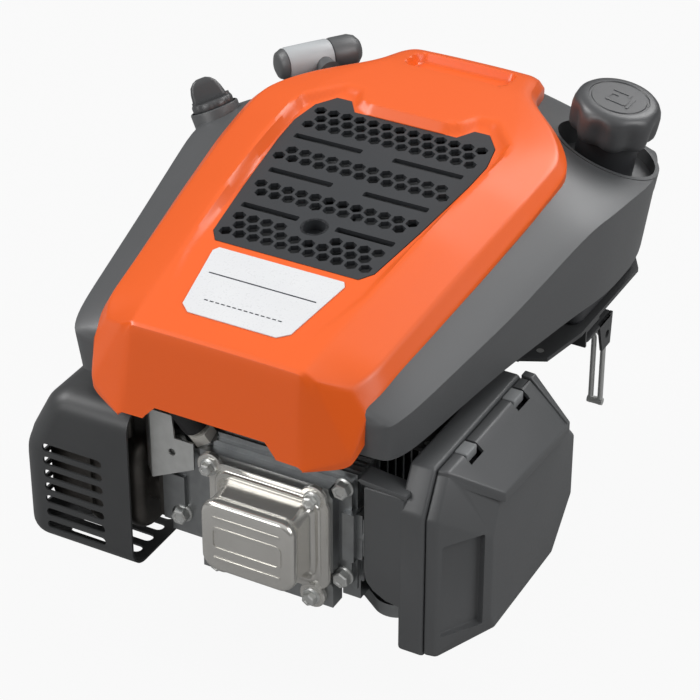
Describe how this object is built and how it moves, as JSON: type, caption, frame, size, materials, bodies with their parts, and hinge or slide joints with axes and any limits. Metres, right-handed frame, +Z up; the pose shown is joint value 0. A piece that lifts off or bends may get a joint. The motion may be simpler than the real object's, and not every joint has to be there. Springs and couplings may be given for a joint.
{
  "type": "vertical shaft petrol engine",
  "caption": "Small air-cooled petrol engine with a vertical drive shaft, overhead valves, recoil starter, fuel tank, muffler and air cleaner under a moulded orange cover.",
  "frame": {"origin": "centre of the drive shaft at the underside of the mounting flange, which is also the centre of the mounting bolt circle", "axes": "+Z up along the crankshaft, away from the drive end; -Y towards the cylinder head and the cover's nose; +X towards the air cleaner"},
  "size_m": [0.3291, 0.3942, 0.3285],
  "materials": {
    "bearing_metal": "bronze bushes",
    "black_paint": "satin black paint",
    "black_plastic": "moulded, fine grain, dark",
    "cap_plastic": "moulded, dark",
    "cast_aluminium": "sand-cast, matt",
    "cast_iron": "as cast",
    "ceramic_white": "glazed insulator",
    "coil_resin": "potted",
    "filter_foam": "oiled foam",
    "grey_plastic": "moulded, light grey",
    "grille_black": "moulded, dark",
    "label_film": "printed film, blank",
    "machined_steel": "turned and ground",
    "muffler_steel": "heat-resistant aluminised",
    "orange_shell": "moulded, semi-gloss orange",
    "rope_fibre": "braided",
    "seal_rubber": "moulded",
    "tank_plastic": "blow-moulded",
    "zinc_steel": "zinc-plated"
  },
  "bodies": {
    "block": {"air_filter_base": "black_plastic", "air_filter_element": "filter_foam", "blower_housing": "black_plastic", "carburettor": "cast_aluminium", "control_bracket": "black_paint", "control_wires": "zinc_steel", "crankcase": "cast_aluminium", "cylinder_head": "cast_aluminium", "exhaust_spring": "machined_steel", "float_bowl": "cast_aluminium", "fuel_tank": "tank_plastic", "grille_insert": "grille_black", "head_bolts": "zinc_steel", "heat_shield": "zinc_steel", "ignition_coil": "coil_resin", "intake_spring": "machined_steel", "label_plate": "label_film", "lower_shroud": "black_paint", "main_bearings": "bearing_metal", "muffler": "muffler_steel", "muffler_guard": "black_paint", "oil_filler_tube": "black_plastic", "oil_seals": "seal_rubber", "plug_boot": "seal_rubber", "rocker_shaft": "machined_steel", "shroud_screws": "zinc_steel", "spark_plug": "ceramic_white", "starter_housing": "black_plastic", "sump_bolts": "zinc_steel", "sump_cover": "cast_aluminium", "top_cover": "orange_shell", "valve_cover": "cast_aluminium", "valve_cover_bolts": "zinc_steel"},
    "crank": {"crankshaft_lower": "machined_steel", "crankshaft_upper": "machined_steel", "flywheel": "cast_iron", "fan": "black_plastic", "starter_cup": "zinc_steel", "flywheel_nut": "zinc_steel"},
    "cam": {"camshaft": "machined_steel"},
    "piston_group": {"piston": "cast_aluminium", "piston_rings": "cast_iron", "wrist_pin": "machined_steel"},
    "rod": {"connecting_rod": "cast_aluminium", "crank_pin": "machined_steel"},
    "inlet_valve": {"intake_valve": "machined_steel"},
    "outlet_valve": {"exhaust_valve": "machined_steel"},
    "inlet_rocker": {"intake_rocker": "machined_steel"},
    "outlet_rocker": {"exhaust_rocker": "machined_steel"},
    "inlet_tappet": {"intake_pushrod": "machined_steel"},
    "outlet_tappet": {"exhaust_pushrod": "machined_steel"},
    "tank_cap": {"fuel_cap": "cap_plastic"},
    "dipstick": {"oil_dipstick": "cap_plastic"},
    "pull_grip": {"starter_handle": "grey_plastic", "starter_rope": "rope_fibre"},
    "rope_drum": {"starter_pulley": "grey_plastic"},
    "throttle": {"throttle_shaft": "zinc_steel"},
    "governor": {"governor_arm": "zinc_steel"},
    "filter_lid": {"air_filter_cover": "black_plastic"}
  },
  "joints": [
    {"name": "crank_spin", "type": "hinge", "parent": "block", "child": "crank", "pos_m": [0, 0, 0], "axis": [0, 0, 1], "continuous": true},
    {"name": "cam_spin", "type": "hinge", "parent": "block", "child": "cam", "pos_m": [0.05, -0.01601, 0.1], "axis": [0, 0, 1], "continuous": true},
    {"name": "piston_slide", "type": "slide", "parent": "block", "child": "piston_group", "axis": [0, 1, 0], "range_m": [0, 0.05]},
    {"name": "rod_swing", "type": "hinge", "parent": "piston_group", "child": "rod", "pos_m": [0, -0.113, 0.084], "axis": [0, 0, 1], "range_deg": [-14, 14]},
    {"name": "inlet_rocker_tilt", "type": "hinge", "parent": "block", "child": "inlet_rocker", "pos_m": [0.027, -0.1903, 0.098], "axis": [0, 0, -1], "range_deg": [0, 14]},
    {"name": "inlet_valve_lift", "type": "slide", "parent": "block", "child": "inlet_valve", "axis": [0, 1, 0], "range_m": [0, 0.00563], "deforming": ["intake_spring"]},
    {"name": "inlet_tappet_lift", "type": "slide", "parent": "block", "child": "inlet_tappet", "axis": [0, -1, 0], "range_m": [0, 0.00563]},
    {"name": "outlet_rocker_tilt", "type": "hinge", "parent": "block", "child": "outlet_rocker", "pos_m": [0.027, -0.1903, 0.07], "axis": [0, 0, -1], "range_deg": [0, 14]},
    {"name": "outlet_valve_lift", "type": "slide", "parent": "block", "child": "outlet_valve", "axis": [0, 1, 0], "range_m": [0, 0.00563], "deforming": ["exhaust_spring"]},
    {"name": "outlet_tappet_lift", "type": "slide", "parent": "block", "child": "outlet_tappet", "axis": [0, -1, 0], "range_m": [0, 0.00563]},
    {"name": "cap_lift", "type": "slide", "parent": "block", "child": "tank_cap", "axis": [0.1736, 0, 0.9848], "range_m": [0, 0.04]},
    {"name": "dipstick_draw", "type": "slide", "parent": "block", "child": "dipstick", "axis": [-0.4535, 0.1038, 0.8852], "range_m": [0, 0.12]},
    {"name": "drum_turn", "type": "hinge", "parent": "block", "child": "rope_drum", "pos_m": [0, 0, 0.217], "axis": [0, 0, 1], "range_deg": [0, 109]},
    {"name": "grip_pull", "type": "slide", "parent": "block", "child": "pull_grip", "axis": [-0.8064, 0.5782, 0.1242], "range_m": [0, 0.09]},
    {"name": "throttle_turn", "type": "hinge", "parent": "block", "child": "throttle", "pos_m": [0.0905, -0.155, 0.09], "axis": [0, 0, -1], "range_deg": [0, 60]},
    {"name": "governor_swing", "type": "hinge", "parent": "block", "child": "governor", "pos_m": [0.108, 0.084, 0.12], "axis": [0, 0, 1], "range_deg": [-10, 10]},
    {"name": "filter_lid_off", "type": "slide", "parent": "block", "child": "filter_lid", "axis": [1, 0, 0], "range_m": [0, 0.06]}
  ],
  "couplings": [
    {"joint": "cam_spin", "follows": "crank_spin", "ratio": -0.5},
    {"joint": "grip_pull", "follows": "drum_turn", "m_per_rad": 0.047},
    {"joint": "inlet_valve_lift", "follows": "inlet_rocker_tilt", "m_per_rad": 0.023},
    {"joint": "inlet_tappet_lift", "follows": "inlet_rocker_tilt", "m_per_rad": 0.023},
    {"joint": "outlet_valve_lift", "follows": "outlet_rocker_tilt", "m_per_rad": 0.023},
    {"joint": "outlet_tappet_lift", "follows": "outlet_rocker_tilt", "m_per_rad": 0.023}
  ]
}
